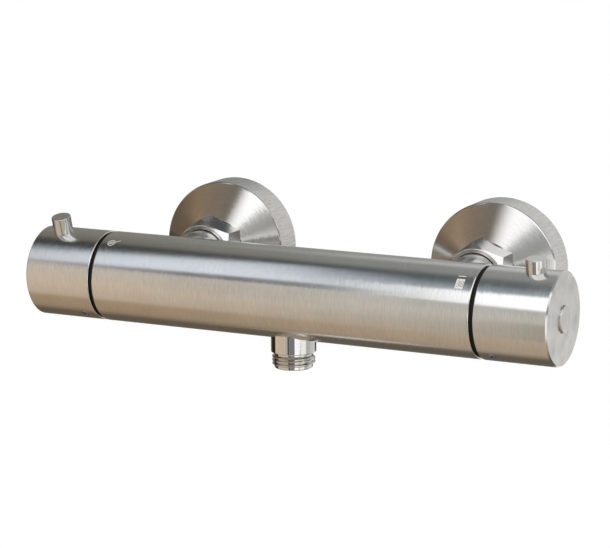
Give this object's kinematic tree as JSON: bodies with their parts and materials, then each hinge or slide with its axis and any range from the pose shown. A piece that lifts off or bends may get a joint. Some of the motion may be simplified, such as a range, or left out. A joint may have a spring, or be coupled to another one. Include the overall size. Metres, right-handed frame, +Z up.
{
  "type": "thermostatic shower valve",
  "caption": "Bar-shaped wall-mounted thermostatic shower valve with a temperature handle, a flow handle, union inlets with cover plates and a threaded hose outlet.",
  "frame": {"origin": "on the finished wall plane, midway between the axes of the two wall tails", "axes": "+X along the bar to the temperature handle, on the right for someone who faces the valve; +Y into the wall; +Z up"},
  "size_m": [0.277, 0.1262, 0.0747],
  "materials": {
    "stainless": "stainless steel, circumferentially brushed, with soft bright bands along the bar",
    "stainless_turned": "turned stainless steel with a fine lathe grain",
    "stainless_nut": "stainless steel, flats ground across, chamfer turned bright",
    "stainless_sheet": "drawn stainless sheet, brushed round its axis",
    "spring_steel": "plain steel",
    "brass": "machined brass",
    "core_plastic": "moulded glass-filled plastic",
    "dark_plastic": "moulded black plastic",
    "rubber": "smooth black rubber",
    "ceramic": "lapped ceramic"
  },
  "bodies": {
    "valve_body": {"body_tube": "stainless", "waterway_core": "core_plastic", "core_seals": "rubber", "socket_left": "brass", "socket_right": "brass", "inlet_neck_left": "stainless_turned", "inlet_neck_right": "stainless_turned", "union_nut_left": "stainless_nut", "union_nut_right": "stainless_nut", "nut_clip_left": "spring_steel", "nut_clip_right": "spring_steel", "s_union_left": "brass", "s_union_right": "brass", "rosette_left": "stainless_sheet", "rosette_right": "stainless_sheet", "inlet_washer_left": "rubber", "inlet_washer_right": "rubber", "strainer_left": "spring_steel", "strainer_right": "spring_steel", "check_cage_left": "core_plastic", "check_cage_right": "core_plastic", "check_spring_left": "spring_steel", "check_spring_right": "spring_steel", "outlet_nipple": "stainless_turned", "thermostat_housing": "core_plastic", "thermostat_ring_nut": "brass", "thermostat_seals": "rubber", "return_spring": "spring_steel", "headwork_housing": "brass", "headwork_ring_nut": "brass", "headwork_seal": "rubber", "disc_seal": "rubber", "fixed_disc": "ceramic", "temp_stop_ring": "dark_plastic", "flow_stop_ring": "dark_plastic", "glide_ring_left": "dark_plastic", "glide_ring_right": "dark_plastic"},
    "temp_handle": {"temp_knob": "stainless", "temp_pin": "stainless_turned", "temp_adaptor": "dark_plastic", "temp_grub_screw": "spring_steel", "temp_spindle": "brass", "temp_spindle_seal": "rubber", "button_spring": "spring_steel"},
    "override": {"override_button": "stainless_turned"},
    "flow_handle": {"flow_knob": "stainless", "flow_pin": "stainless_turned", "flow_adaptor": "dark_plastic", "flow_grub_screw": "spring_steel", "flow_spindle": "brass", "flow_spindle_seal": "rubber", "moving_disc": "ceramic"},
    "regulator": {"shuttle": "brass", "wax_element": "brass", "adjusting_nut": "brass", "overload_spring": "spring_steel"},
    "check_left": {"check_poppet_left": "dark_plastic"},
    "check_right": {"check_poppet_right": "dark_plastic"}
  },
  "joints": [
    {"name": "temperature_turn", "type": "hinge", "parent": "valve_body", "child": "temp_handle", "pos_m": [0.12, -0.086, -0.011], "axis": [1, 0, 0], "range_deg": [-150, 90]},
    {"name": "flow_turn", "type": "hinge", "parent": "valve_body", "child": "flow_handle", "pos_m": [-0.12, -0.086, -0.011], "axis": [1, 0, 0], "range_deg": [0, 90]},
    {"name": "override_press", "type": "slide", "parent": "temp_handle", "child": "override", "axis": [-1, 0, 0], "range_m": [0, 0.0018], "stiffness_N_per_m": 900, "deforming": ["button_spring"]},
    {"name": "regulator_slide", "type": "slide", "parent": "valve_body", "child": "regulator", "axis": [1, 0, 0], "range_m": [-0.0008, 0.0005], "deforming": ["return_spring"]},
    {"name": "check_left_open", "type": "slide", "parent": "valve_body", "child": "check_left", "axis": [0, -1, 0], "range_m": [0, 0.0024], "stiffness_N_per_m": 60, "deforming": ["check_spring_left"]},
    {"name": "check_right_open", "type": "slide", "parent": "valve_body", "child": "check_right", "axis": [0, -1, 0], "range_m": [0, 0.0024], "stiffness_N_per_m": 60, "deforming": ["check_spring_right"]}
  ],
  "couplings": [
    {"joint": "regulator_slide", "follows": "temperature_turn", "m_per_rad": 0.00028871}
  ]
}
